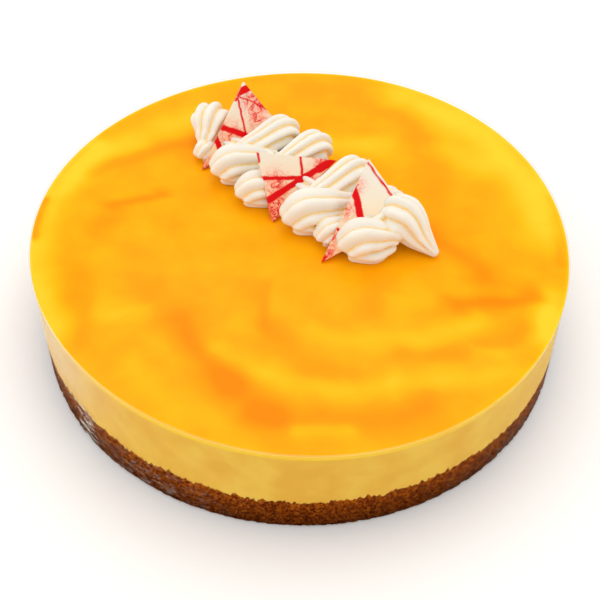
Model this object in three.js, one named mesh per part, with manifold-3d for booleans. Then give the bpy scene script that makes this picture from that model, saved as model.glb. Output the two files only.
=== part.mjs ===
// A round mousse cake: a crumb base, a pale mousse layer and a fruit jelly glaze, wrapped in a clear
// acetate collar, with one piped rope of whipped cream and three marbled white chocolate shards on top.
// Millimetres, +Z up. The origin is the middle of the underside. The cake is seen from -Y.
import * as THREE from 'three';
import { mergeVertices } from 'three/addons/utils/BufferGeometryUtils.js';
import Module from 'manifold-3d';

// Driving dimensions.
const COLLAR_DIAMETER = 240;
const COLLAR_THICKNESS = 0.3;
const COLLAR_FOOT = 0.6;
const COLLAR_LIP = 2;
const FIT_GAP = 0.3;
const BASE_HEIGHT = 19;
const MOUSSE_HEIGHT = 30;
const GLAZE_HEIGHT = 1.5;
const FOOT_ROUNDING = 1;
const GLAZE_EDGE_ROUNDING = 0.6;
const SEGMENTS = 120;
const TOUCH = 0.01;

// Each layer starts one gap above the layer below it.
const MOUSSE_TOP = BASE_HEIGHT + MOUSSE_HEIGHT;
const GLAZE_TOP = MOUSSE_TOP + GLAZE_HEIGHT;
const COLLAR_TOP = GLAZE_TOP + COLLAR_LIP;
const COLLAR_RADIUS = COLLAR_DIAMETER / 2;
const CAKE_RADIUS = COLLAR_RADIUS - COLLAR_THICKNESS - FIT_GAP;

// Out of round, as a share of the radius at the glaze. The foot is a true circle.
const OUT_OF_ROUND = { twoSin: 0.002, threeCos: -0.0095, threeSin: 0.0037 };

// The crumb layer's top line and its crags: [waves round the cake, phase, height in mm].
const CRUMB_LINE_WAVES = [[5, 0.4, 0.35], [13, 1.9, 0.3], [29, 4.4, 0.25], [47, 2.3, 0.2]];
const CRUMB_LINE_FADE = 40;
const CRAG_WAVES = [[31, 1.1, 0.9], [43, 3.7, -1.6], [19, 5.2, 0.6]];
const CRAG_DEPTH = 0.5;
const CRAG_ROWS = 6;

// Piped cream: one coiled rope from a star nozzle. At the front each turn opens into a shell with a lip below
// it, and from there the rope sweeps over to the turn's back. The places are the middles of the rope's
// thickness at the shell's wide front end, at its narrow side end and at the back, and the radii are the
// rope's at the front and at the back.
const SHELL_RIDGES = 6;
const LIP_RIDGES = 4;
const SWEEP_RIDGES = 8;
const RIDGE_DEPTH = 0.33;
const RIDGE_TWIST = 0.6;
// Each ridge leans: it is steep on one side of its crest and long on the other.
const RIDGE_LEAN = 0.65;
const TURNS = [
  { front: [-48, 49], side: [-43, 54], back: [-46, 63.5], radii: [5.5, 10.5] },
  { front: [-35.5, 35], side: [-18, 40], back: [-12.5, 58], radii: [9.5, 9.5] },
  { front: [-24, 20], side: [-6, 24], back: [3, 47.5], radii: [8.5, 9.5] },
  { front: [-0.5, 3.5], side: [20, 10], back: [21.5, 30], radii: [10.5, 9.5] },
  { front: [11, -5], side: [24, 2], back: [37, 12.5], radii: [6.5, 8.5] },
  { front: [24, -12.5], side: [39, -9.5], back: [38, 0], radii: [10, 9] },
];
// Stations along a turn's three stretches, in rope radii: [share of the way, overhang past it, sideways
// towards the viewer, height, the rope's thickness there].
const SHELL = [
  [1, 0.4, -0.1, 0.7, 0], [1, 0, -0.1, 0.92, 0.5], [0.5, 0, -0.1, 1.02, 0.78],
  [0.1, 0, -0.1, 1, 0.92], [0, -0.22, -0.1, 0.62, 0.84], [0, -0.42, -0.05, 0.28, 0],
];
const LIP = [
  [0, -0.35, 0.1, 0.45, 0], [0, -0.1, 0.24, 0.4, 0.42], [0.45, 0, 0.38, 0.36, 0.46],
  [0.85, 0, 0.2, 0.4, 0.34], [1, 0.2, 0.05, 0.45, 0],
];
const SWEEP = [
  [0, 0, -0.2, 0.6, 0], [0.15, 0.1, -0.1, 0.9, 0.62], [0.5, 0, 0, 1, 0.8],
  [1, 0, 0, 1.05, 0.95], [1, 0.45, 0, 0.6, 0.8], [1, 0.75, 0, 0.3, 0],
];
const SHELL_RINGS = 8;
const LIP_RINGS = 6;
const SWEEP_RINGS = 8;
// The last stretch of the rope is rounded over its first share, full to the next, and then draws down.
const TAIL = { start: [33, 2], crest: [43.5, -1], end: [59.5, -12], radius: 11 };
const TAIL_RINGS = 9;
const TAIL_ROUNDING = 0.2;
const TAIL_FULL = 0.35;
const TAIL_DRAW = 0.85;
// The cream that fills the middle of the coil, close to the glaze.
const CORE_RADIUS = 7.5;
const CORE_HEIGHT = 6;
const CORE_RINGS = 12;

// Chocolate shards: the corners of the decorated face, anticlockwise from the front in the order left,
// right, top. Heights are above the glaze.
const SHARD_THICKNESS = 2.6;
const SHARDS = {
  chocolate_shard_back: { left: [-48.8, 40.3, 0.8], top: [-30.1, 67.8, 32], right: [-13.5, 60, 14] },
  chocolate_shard_middle: { left: [-21.7, 26.2, 25], top: [14.3, 32.6, 16], right: [-13.8, 6.3, 0.8] },
  chocolate_shard_front: { left: [8.4, -18.1, 0.8], top: [27.7, 15.8, 32], right: [46.4, -1.5, 15] },
};

const UP = new THREE.Vector3(0, 0, 1);

const wasm = await Module();
wasm.setup();

// A closed geometry as a manifold solid, and back.
function toSolid(geometry) {
  const bare = geometry.clone();
  for (const name of Object.keys(bare.attributes)) if (name !== 'position') bare.deleteAttribute(name);
  const merged = mergeVertices(bare, 1e-4);
  return new wasm.Manifold(new wasm.Mesh({
    numProp: 3,
    vertProperties: merged.attributes.position.array,
    triVerts: new Uint32Array(merged.index.array),
  }));
}

function toGeometry(solid) {
  const mesh = solid.getMesh();
  const geometry = new THREE.BufferGeometry();
  geometry.setAttribute('position', new THREE.BufferAttribute(new Float32Array(mesh.vertProperties), 3));
  geometry.setIndex(new THREE.BufferAttribute(new Uint32Array(mesh.triVerts), 1));
  geometry.computeVertexNormals();
  return geometry;
}

// The outermost of a geometry's separate skins, which leaves out the small hollows that are sealed inside it.
function outerSkin(geometry) {
  const faces = geometry.index.array;
  const position = geometry.attributes.position;
  const group = Array.from({ length: position.count }, (_, vertex) => vertex);
  const groupOf = (vertex) => {
    let head = vertex;
    while (group[head] !== head) head = group[head];
    group[vertex] = head;
    return head;
  };
  for (let i = 0; i < faces.length; i += 3) {
    group[groupOf(faces[i + 1])] = groupOf(faces[i]);
    group[groupOf(faces[i + 2])] = groupOf(faces[i]);
  }
  let outermost = 0;
  for (let i = 1; i < position.count; i += 1) if (position.getX(i) < position.getX(outermost)) outermost = i;
  const kept = faces.filter((_, i) => groupOf(faces[i]) === groupOf(outermost));
  geometry.setIndex(new THREE.BufferAttribute(kept, 1));
  const skin = mergeVertices(geometry.toNonIndexed());
  skin.computeVertexNormals();
  return skin;
}

// Moves every vertex of a geometry by a function of its position.
function reshape(geometry, move) {
  const position = geometry.attributes.position;
  const point = new THREE.Vector3();
  for (let i = 0; i < position.count; i += 1) {
    point.fromBufferAttribute(position, i);
    move(point);
    position.setXYZ(i, point.x, point.y, point.z);
  }
  geometry.computeVertexNormals();
  return geometry;
}

const sumWaves = (waves, angle) =>
  waves.reduce((sum, [count, phase, height]) => sum + height * Math.sin(count * angle + phase), 0);

// How far the cake is out of round at a height, as a factor on the radius.
function roundness(angle, z) {
  const lobes = OUT_OF_ROUND.twoSin * Math.sin(2 * angle)
    + OUT_OF_ROUND.threeCos * Math.cos(3 * angle)
    + OUT_OF_ROUND.threeSin * Math.sin(3 * angle);
  return 1 + (z / GLAZE_TOP) * lobes;
}

// A turned layer with its axis on Z, then pushed out of round.
function turned(profile, relief = () => {}) {
  const geometry = new THREE.LatheGeometry(profile.map(([r, z]) => new THREE.Vector2(r, z)), SEGMENTS);
  geometry.rotateX(Math.PI / 2);
  return reshape(geometry, (point) => {
    relief(point, Math.atan2(point.y, point.x));
    const factor = roundness(Math.atan2(point.y, point.x), point.z);
    point.x *= factor;
    point.y *= factor;
  });
}

// The uneven line where mousse meets crumb, level in the middle of the cake.
function crumbLine(point, angle) {
  const fade = Math.max(0, 1 - (CAKE_RADIUS - Math.hypot(point.x, point.y)) / CRUMB_LINE_FADE);
  return fade * sumWaves(CRUMB_LINE_WAVES, angle);
}

// How deep the crumb layer's side is bitten at a place, from nothing to the full crag depth.
function crag(angle, z) {
  let ripple = 0;
  for (const [count, phase, climb] of CRAG_WAVES) ripple += Math.sin(count * angle + phase + climb * z);
  return CRAG_DEPTH * (0.5 + ripple / (2 * CRAG_WAVES.length));
}

const SHOULDER = CAKE_RADIUS - 6;
const INNER_RING = CAKE_RADIUS - CRUMB_LINE_FADE;

function crumbBase() {
  const profile = [[0, 0], [CAKE_RADIUS - FOOT_ROUNDING, 0]];
  for (let row = 0; row <= CRAG_ROWS; row += 1) {
    const share = row / CRAG_ROWS;
    profile.push([CAKE_RADIUS, FOOT_ROUNDING + (BASE_HEIGHT - FOOT_ROUNDING) * share]);
  }
  profile.push([SHOULDER, BASE_HEIGHT], [INNER_RING, BASE_HEIGHT], [0, BASE_HEIGHT]);
  return turned(profile, (point, angle) => {
    const radius = Math.hypot(point.x, point.y);
    const z = point.z;
    if (radius > CAKE_RADIUS - TOUCH) {
      const inward = 1 - crag(angle, z) / CAKE_RADIUS;
      point.x *= inward;
      point.y *= inward;
    }
    if (z > BASE_HEIGHT - TOUCH) point.z += crumbLine(point, angle);
  });
}

function mousseLayer() {
  const foot = BASE_HEIGHT + FIT_GAP;
  const profile = [
    [0, foot], [INNER_RING, foot], [SHOULDER, foot], [CAKE_RADIUS, foot],
    [CAKE_RADIUS, MOUSSE_TOP], [0, MOUSSE_TOP],
  ];
  return turned(profile, (point, angle) => {
    if (point.z < foot + TOUCH) point.z += crumbLine(point, angle);
  });
}

function glazeLayer() {
  const foot = MOUSSE_TOP + FIT_GAP;
  return turned([
    [0, foot], [CAKE_RADIUS, foot], [CAKE_RADIUS, GLAZE_TOP - GLAZE_EDGE_ROUNDING],
    [CAKE_RADIUS - 0.3 * GLAZE_EDGE_ROUNDING, GLAZE_TOP - 0.3 * GLAZE_EDGE_ROUNDING],
    [CAKE_RADIUS - GLAZE_EDGE_ROUNDING, GLAZE_TOP], [0, GLAZE_TOP],
  ]);
}

function collar() {
  const inside = COLLAR_RADIUS - COLLAR_THICKNESS;
  return turned([
    [inside, COLLAR_FOOT], [COLLAR_RADIUS, COLLAR_FOOT], [COLLAR_RADIUS, COLLAR_TOP],
    [inside, COLLAR_TOP], [inside, COLLAR_FOOT],
  ]);
}

// One ridged strand of cream along a spine, with sharp creases between its ridges.
function ridgedStrand(spine, radiusAt, ridges, along, around = 4 * ridges) {
  const level = new THREE.Vector3().crossVectors(spine.getTangentAt(0), UP).normalize();
  const sphere = new THREE.SphereGeometry(1, around, along);
  return reshape(sphere, (point) => {
    const ring = Math.round((Math.acos(THREE.MathUtils.clamp(point.y, -1, 1)) / Math.PI) * along);
    const share = ring / along;
    const turn = Math.atan2(point.z, -point.x);
    const ahead = spine.getTangentAt(share);
    const across = level.clone().addScaledVector(ahead, -level.dot(ahead)).normalize();
    const upward = new THREE.Vector3().crossVectors(ahead, across);
    const tooth = THREE.MathUtils.euclideanModulo((ridges * turn) / (2 * Math.PI) + TOUCH / 2, 1);
    const crest = Math.sin(Math.PI * tooth ** RIDGE_LEAN);
    const reach = ring === 0 || ring === along ? 0 : radiusAt(share) * (1 - RIDGE_DEPTH * (1 - crest));
    const angle = turn - RIDGE_TWIST * share;
    point.copy(spine.getPointAt(share))
      .addScaledVector(across, reach * Math.cos(angle))
      .addScaledVector(upward, -reach * Math.sin(angle));
  });
}

// A strand's thickness, met at the same shares of the way as the points, and rounded off at both ends.
function throughGirths(points, girths) {
  const passed = [0];
  for (let i = 1; i < points.length; i += 1) passed.push(passed[i - 1] + points[i].distanceTo(points[i - 1]));
  const last = points.length - 2;
  return (share) => {
    const way = share * passed[last + 1];
    const i = Math.min(last, passed.findIndex((sum, n) => n > 0 && way <= sum) - 1);
    const part = THREE.MathUtils.clamp((way - passed[i]) / (passed[i + 1] - passed[i]), 0, 1);
    if (i === 0) return girths[1] * Math.sqrt(1 - (1 - part) ** 2);
    if (i === last) return girths[last] * Math.sqrt(1 - part ** 2);
    return THREE.MathUtils.lerp(girths[i], girths[i + 1], THREE.MathUtils.smoothstep(part, 0, 1));
  };
}

// A stretch of the rope between two places, on the way and with the thickness that its stations give.
function stretch(from, to, radii, stations, ridges, rings, around) {
  const start = new THREE.Vector2(...from);
  const end = new THREE.Vector2(...to);
  const ahead = end.clone().sub(start).normalize();
  const aside = new THREE.Vector2(ahead.y, -ahead.x);
  const radiusOf = (share) => THREE.MathUtils.lerp(radii[0], radii[1], share);
  const points = stations.map(([share, past, side, height]) => {
    const radius = radiusOf(share);
    const place = start.clone().lerp(end, share)
      .addScaledVector(ahead, past * radius)
      .addScaledVector(aside, side * radius);
    return new THREE.Vector3(place.x, place.y, GLAZE_TOP + height * radius);
  });
  const girths = stations.map(([share, , , , girth]) => girth * radiusOf(share));
  const spine = new THREE.CatmullRomCurve3(points);
  return ridgedStrand(spine, throughGirths(points, girths), ridges, rings, around);
}

function coilTurn({ front, side, back, radii }) {
  return [
    stretch(front, side, [radii[0], radii[0]], SHELL, SHELL_RIDGES, SHELL_RINGS),
    stretch(front, side, [radii[0], radii[0]], LIP, LIP_RIDGES, LIP_RINGS),
    stretch(front, back, radii, SWEEP, SWEEP_RIDGES, SWEEP_RINGS, 3 * SWEEP_RIDGES),
  ];
}

// The last stretch of the rope, drawn off to a point on the glaze.
function coilTail({ start, crest, end, radius }) {
  const spine = new THREE.CatmullRomCurve3([
    new THREE.Vector3(start[0], start[1], GLAZE_TOP + radius),
    new THREE.Vector3(crest[0], crest[1], GLAZE_TOP + 1.1 * radius),
    new THREE.Vector3((crest[0] + end[0]) / 2, (crest[1] + end[1]) / 2, GLAZE_TOP + 0.6 * radius),
    new THREE.Vector3(end[0], end[1], GLAZE_TOP + 0.12 * radius),
  ]);
  const rounding = (share) => Math.sqrt(Math.min(1, share / TAIL_ROUNDING));
  const drawing = (share) => 1 - TAIL_DRAW * Math.max(0, share - TAIL_FULL) / (1 - TAIL_FULL);
  const girth = (share) => radius * rounding(share) * drawing(share);
  return ridgedStrand(spine, girth, SWEEP_RIDGES, TAIL_RINGS);
}

// The filled middle of the coil, along the middles of its turns.
function coilCore() {
  const spine = new THREE.CatmullRomCurve3(TURNS.map(({ front, side, back }) => new THREE.Vector3(
    (front[0] + side[0] + back[0]) / 3, (front[1] + side[1] + back[1]) / 3, GLAZE_TOP + CORE_HEIGHT,
  )));
  const girth = (share) => CORE_RADIUS * Math.sqrt(1 - (2 * share - 1) ** 4);
  return ridgedStrand(spine, girth, SWEEP_RIDGES, CORE_RINGS, SWEEP_RIDGES);
}

// A shard with its decorated face on the three corners and its thickness behind them, grown by a clearance.
function shard({ left, top, right }, clearance = 0) {
  const corner = ([x, y, z]) => new THREE.Vector3(x, y, GLAZE_TOP + z);
  const [a, b, c] = [corner(left), corner(top), corner(right)];
  const across = b.clone().sub(a).normalize();
  const facing = new THREE.Vector3().crossVectors(c.clone().sub(a), across).normalize();
  const upward = new THREE.Vector3().crossVectors(facing, across);
  const flat = [a, b, c].map((p) => p.clone().sub(a)).map((p) => new THREE.Vector2(p.dot(across), p.dot(upward)));
  const middle = flat.reduce((sum, p) => sum.add(p), new THREE.Vector2()).divideScalar(3);
  const outline = flat.map((p) => p.clone().add(p.clone().sub(middle).setLength(3 * clearance)));
  const geometry = new THREE.ExtrudeGeometry(new THREE.Shape(outline), {
    depth: SHARD_THICKNESS + 2 * clearance, bevelEnabled: false,
  });
  geometry.translate(0, 0, -clearance - SHARD_THICKNESS);
  geometry.applyMatrix4(new THREE.Matrix4().makeBasis(across, upward, facing).setPosition(a));
  return geometry;
}

// Everything from the glaze down, which cuts flat what stands on the glaze.
function belowGlaze() {
  const slab = new THREE.BoxGeometry(COLLAR_DIAMETER, COLLAR_DIAMETER, GLAZE_TOP);
  slab.translate(0, 0, GLAZE_TOP / 2 + FIT_GAP);
  return toSolid(slab);
}

function standingShard(corners) {
  return toGeometry(toSolid(shard(corners)).subtract(belowGlaze()));
}

function whippedCream() {
  const lobes = [coilCore(), ...TURNS.flatMap(coilTurn), coilTail(TAIL)];
  let rope = lobes.map(toSolid).reduce((joined, lobe) => joined.add(lobe));
  rope = rope.subtract(belowGlaze());
  for (const corners of Object.values(SHARDS)) rope = rope.subtract(toSolid(shard(corners, FIT_GAP)));
  return outerSkin(toGeometry(rope));
}

// Materials: dull crumb, satin mousse, wet glaze, clear film, matt cream, smooth chocolate.
function finish(color, roughness, extra = {}) {
  return new THREE.MeshStandardMaterial({ color, roughness, metalness: 0, ...extra });
}

const CRUMB = finish(0x9a5a22, 0.85);
const MOUSSE = finish(0xf0c565, 0.6);
const GLAZE = finish(0xffb21c, 0.15);
const FILM = finish(0xf4f4f0, 0.08, { transparent: true, opacity: 0.25 });
const CREAM = finish(0xfbf6e6, 0.55);
const CHOCOLATE = finish(0xf6e6d2, 0.35);

const cake = new THREE.Group();
cake.name = 'mousse_cake';

function addPiece(name, geometry, material) {
  const piece = new THREE.Mesh(geometry, material);
  piece.name = name;
  cake.add(piece);
}

addPiece('crumb_base', crumbBase(), CRUMB);
addPiece('mousse_layer', mousseLayer(), MOUSSE);
addPiece('glaze_layer', glazeLayer(), GLAZE);
addPiece('acetate_collar', collar(), FILM);
addPiece('whipped_cream', whippedCream(), CREAM);
for (const [name, corners] of Object.entries(SHARDS)) {
  addPiece(name, standingShard(corners), CHOCOLATE);
}

// The out-of-round outline is centred on the origin by its own box.
const middle = new THREE.Box3().setFromObject(cake).getCenter(new THREE.Vector3());
cake.position.set(-middle.x, -middle.y, 0);

export default cake;
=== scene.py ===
"""A round mousse cake, dressed for a studio picture.

Crumb base, mousse, jelly glaze and clear film collar are turned layers, pushed a little out of round.
The cream is a ridged rope piped in turns, and three marbled white chocolate shards stand in it.
"""
import math

import bmesh
import bpy
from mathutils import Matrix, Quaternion, Vector, noise


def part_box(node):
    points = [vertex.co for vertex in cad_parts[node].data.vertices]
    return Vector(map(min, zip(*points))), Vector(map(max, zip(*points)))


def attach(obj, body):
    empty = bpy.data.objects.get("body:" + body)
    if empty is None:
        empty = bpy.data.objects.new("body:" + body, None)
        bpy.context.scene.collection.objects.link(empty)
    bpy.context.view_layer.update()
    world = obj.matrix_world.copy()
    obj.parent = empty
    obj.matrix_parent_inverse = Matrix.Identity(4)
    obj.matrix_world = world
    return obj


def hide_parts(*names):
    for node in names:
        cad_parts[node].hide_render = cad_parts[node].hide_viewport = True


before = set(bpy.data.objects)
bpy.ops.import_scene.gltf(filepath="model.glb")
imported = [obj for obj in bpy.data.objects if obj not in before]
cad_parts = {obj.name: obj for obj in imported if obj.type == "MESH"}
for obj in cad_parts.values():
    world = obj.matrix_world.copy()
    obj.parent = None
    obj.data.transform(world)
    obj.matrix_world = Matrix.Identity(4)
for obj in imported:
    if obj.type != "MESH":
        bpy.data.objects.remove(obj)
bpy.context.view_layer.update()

bl_info = {
    "name": "Mousse Cake",
    "version": (1, 0, 0),
    "blender": (4, 5, 0),
    "location": "View3D > Sidebar > Cake",
    "description": "Builds a glazed mousse cake with piped cream and chocolate shards",
    "category": "Add Mesh",
}

MM = 0.001

# Two heights closer than this are the same height.
SAME_HEIGHT = 0.1 * MM
# A vertex past this share of the radius is on the side of a layer.
SIDE_SHARE = 0.99
# Vector noise is seeded from the clock unless a seed is set, and then no two runs would be the same.
DRIFT_SEED = 1


# ---------------------------------------------------------------- colours and settings


def linear(hex_code):
    """An sRGB hex colour as linear red, green and blue."""
    shares = [int(hex_code[i:i + 2], 16) / 255 for i in (1, 3, 5)]
    return tuple(c / 12.92 if c <= 0.04045 else ((c + 0.055) / 1.055) ** 2.4 for c in shares)


def height_of(node, end):
    """The height of a CAD node's lowest (0) or highest (1) point."""
    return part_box(node)[end].z


def length(label, words, default):
    """A length in metres for the panel."""
    return bpy.props.FloatProperty(
        name=label, description=words, default=default, unit="LENGTH", precision=5)


def share(label, words, default):
    """A plain number for the panel, most often a share of something."""
    return bpy.props.FloatProperty(
        name=label, description=words, default=default, min=-1, max=10, precision=4)


def count(label, words, default):
    """A whole number for the panel."""
    return bpy.props.IntProperty(name=label, description=words, default=default, min=3, max=200)


def rotation(label, words, degrees):
    """An angle for the panel."""
    return bpy.props.FloatProperty(
        name=label, description=words, default=math.radians(degrees), unit="ROTATION")


def colour(label, words, hex_code):
    """A colour for the panel."""
    return bpy.props.FloatVectorProperty(
        name=label, description=words, default=linear(hex_code), size=3, subtype="COLOR", min=0, max=1)


# The gap between two CAD solids. The layers here lie on each other without one.
LAYER_GAP = 0.3 * MM


class LayerSizes(bpy.types.PropertyGroup):
    """The turned layers of the cake."""

    radius: length("Radius", "From the middle to the outside of the film", 120 * MM)
    film_thickness: length("Film", "Thickness of the film collar", 0.3 * MM)
    film_gap: length("Film gap", "Gap between the film and the cake's side", 0.3 * MM)
    glaze_gap: length("Glaze gap", "Gap between the film and the glaze", 0.02 * MM)
    foot_rounding: length("Foot rounding", "Rounding of the crumb layer's foot", 0.5 * MM)
    base_top: length("Base top", "Height of the crumb layer", 19 * MM)
    mousse_top: length("Mousse top", "Height of the mousse", height_of("glaze_layer", 0) - LAYER_GAP)
    mousse_lap: length("Mousse lap", "How far the mousse reaches up into the glaze", 0.2 * MM)
    glaze_top: length("Glaze top", "Height of the glaze", height_of("glaze_layer", 1))
    film_top: length("Film top", "Height of the film collar", height_of("acetate_collar", 1))
    film_foot: length("Film foot", "Height of the film's lower edge", height_of("acetate_collar", 0))
    two_sin: share("Oval", "Out of round, two waves, share of the radius", 0.002)
    three_cos: share("Three lobes", "Out of round, three waves, share of the radius", -0.0095)
    three_sin: share("Three lobes turned", "Out of round, three waves, share of the radius", 0.0037)
    crumb_depth: length("Crumb depth", "How far the crumb layer's side is bitten", 1.3 * MM)
    crumb_size: length("Crumb size", "Usual size of one crumb", 1.5 * MM)


class CreamSizes(bpy.types.PropertyGroup):
    """The piped rope of cream."""

    shell_ridges: count("Shell ridges", "Ridges round a shell", 6)
    lip_ridges: count("Lip ridges", "Ridges round a lip", 4)
    sweep_ridges: count("Sweep ridges", "Ridges round a sweep, the core and the tail", 8)
    ridge_depth: share("Ridge depth", "Depth of the grooves, share of the rope's radius", 0.33)
    ridge_twist: share("Twist", "Turn of the ridges along one turn, radians", 0.6)
    core_radius: length("Core radius", "Radius of the cream in the middle of the coil", 7.5 * MM)
    core_height: length("Core height", "Height of the coil's middle above the glaze", 6 * MM)
    sunk: length("Sunk", "How deep the cream sits in the glaze", 0.4 * MM)
    grain: length("Fineness", "Size of the faces of the finished cream", 0.42 * MM)
    kept: share("Kept", "Share of the faces that is kept where they say nothing more", 0.62)


class ShardSizes(bpy.types.PropertyGroup):
    """The chocolate shards."""

    thickness: length("Thickness", "Thickness of a shard", 2.6 * MM)
    edge_rounding: length("Edge", "Rounding of a shard's edges", 0.6 * MM)
    cuts: count("Cuts", "How finely a shard's face is divided", 96)


class CakeColours(bpy.types.PropertyGroup):
    """The colours of the cake's own parts."""

    # Partly painted shade: the darkest crumb colour is dark crumb, and also shade deep between the crumbs and
    # at the foot.
    crumb_dark_and_shade: colour("Crumb shade", "Deep between the crumbs", "#1e0700")
    crumb_mid: colour("Crumb", "Most of the baked crumb", "#6c2601")
    # Partly painted highlight: the palest crumb colour is sugary crumbs, and also light caught on the grains.
    crumb_light_and_highlight: colour("Crumb light", "Sugary crumbs", "#bf6212")
    mousse: colour("Mousse", "The mousse", "#ecbe4c")
    mousse_deep: colour("Mousse deep", "The deeper patches of the mousse", "#e4ac3e")
    glaze_pale: colour("Glaze pale", "The thinnest streaks of the jelly", "#ffcd2a")
    glaze_yellow: colour("Glaze yellow", "The yellow part of the jelly", "#ffb80e")
    glaze_gold: colour("Glaze gold", "The usual colour of the jelly", "#ffa306")
    glaze_orange: colour("Glaze orange", "The strongest swirls of the jelly", "#fc8a00")
    cream: colour("Cream", "Whipped cream", "#eee8db")
    # Painted shade: the warm, darker cream painted deep in the creases.
    cream_painted_shade: colour("Cream shade", "Deep in the creases of the cream", "#ffdc92")
    chocolate: colour("Chocolate", "White chocolate", "#eee6d4")
    # Painted light: the warm glow of the jelly, painted on the lower part of each shard.
    chocolate_painted_glow: colour("Chocolate foot", "White chocolate where the jelly glows through it", "#ffdeb0")
    berry: colour("Berry", "The red bands in the chocolate", "#e00408")
    berry_pale: colour("Berry pale", "The veins round the bands", "#ff8c70")


class StudioSettings(bpy.types.PropertyGroup):
    """The camera and the lights."""

    elevation: rotation("Elevation", "Camera above the horizon", 46.86)
    roll: rotation("Roll", "Camera turned about its own axis", 1.9)
    distance: length("Distance", "Camera from the aim point", 528 * MM)
    aim_height: length("Aim height", "Height that the camera looks at", 20 * MM)
    lens: bpy.props.FloatProperty(name="Lens", description="Focal length in mm on 36 mm", default=67.56)
    shift_x: share("Shift X", "Sideways shift of the picture", -0.0025)
    shift_y: share("Shift Y", "Upward shift of the picture", -0.0325)
    floor_size: length("Floor size", "Side of the square floor", 8)
    floor: colour("Floor", "The pale floor", "#fdfdfc")
    air: share("Air", "Strength of the light from all round", 0.95)


class CakeSettings(bpy.types.PropertyGroup):
    """Everything that can be changed on the cake."""

    layers: bpy.props.PointerProperty(type=LayerSizes, name="Layers", description="Turned layers")
    cream: bpy.props.PointerProperty(type=CreamSizes, name="Cream", description="Piped cream")
    shards: bpy.props.PointerProperty(type=ShardSizes, name="Shards", description="Chocolate shards")
    colours: bpy.props.PointerProperty(type=CakeColours, name="Colours", description="Colours")
    studio: bpy.props.PointerProperty(type=StudioSettings, name="Studio", description="Camera and lights")


def settings():
    """The cake's settings in this scene."""
    return bpy.context.scene.mousse_cake


# ---------------------------------------------------------------- places on the cake, in millimetres

# The turns of the cream rope: the middles of its thickness at the two ends of each turn.
CREAM_TURNS = [
    {"front": (-48, 49), "side": (-43, 54), "back": (-46, 63.5), "radii": (5.5, 10.5)},
    {"front": (-35.5, 35), "side": (-18, 40), "back": (-12.5, 58), "radii": (9.5, 9.5)},
    {"front": (-24, 20), "side": (-6, 24), "back": (3, 47.5), "radii": (8.5, 9.5)},
    {"front": (-0.5, 3.5), "side": (20, 10), "back": (21.5, 30), "radii": (10.5, 9.5)},
    {"front": (11, -5), "side": (24, 2), "back": (37, 12.5), "radii": (6.5, 8.5)},
    {"front": (24, -12.5), "side": (39, -9.5), "back": (38, 0), "radii": (10, 9)},
]
# Each ridge leans: it is steep on one side of its crest and long on the other.
RIDGE_LEAN = 0.65
# The tail ends the rope. Its heights are in its own radii, at its start, its crest, half-way down and its end.
CREAM_TAIL = {
    "start": (33, 2), "crest": (43.5, -1), "end": (59.5, -12), "radius": 11, "heights": (1, 1.1, 0.6, 0.12)}
# Shares of the tail's length: where its start is rounded, where it begins to thin, and how much it thins.
TAIL_ROUNDING = 0.2
TAIL_FULL = 0.35
TAIL_DRAW = 0.85

# The paths of a turn's three stretches, in rope radii: share of the way, overhang past it, sideways towards
# the viewer, height, and the rope's thickness there. The shell opens from its narrow end at the side to its
# front and curls under there, the lip shows below it, and the sweep goes from inside the shell to the back.
SHELL_PATH = [
    (1, 0.4, -0.1, 0.7, 0.0),
    (1, 0, -0.1, 0.92, 0.5),
    (0.5, 0, -0.1, 1.02, 0.78),
    (0.1, 0, -0.1, 1.0, 0.92),
    (0, -0.22, -0.1, 0.62, 0.84),
    (0, -0.42, -0.05, 0.28, 0.0),
]
LIP_PATH = [
    (0, -0.35, 0.1, 0.45, 0.0),
    (0, -0.1, 0.24, 0.4, 0.42),
    (0.45, 0, 0.38, 0.36, 0.46),
    (0.85, 0, 0.2, 0.4, 0.34),
    (1, 0.2, 0.05, 0.45, 0.0),
]
SWEEP_PATH = [
    (0, 0.0, -0.2, 0.6, 0.0),
    (0.15, 0.1, -0.1, 0.9, 0.62),
    (0.5, 0, 0, 1.0, 0.8),
    (1, 0, 0, 1.05, 0.95),
    (1, 0.45, 0, 0.6, 0.8),
    (1, 0.75, 0, 0.3, 0.0),
]

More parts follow.
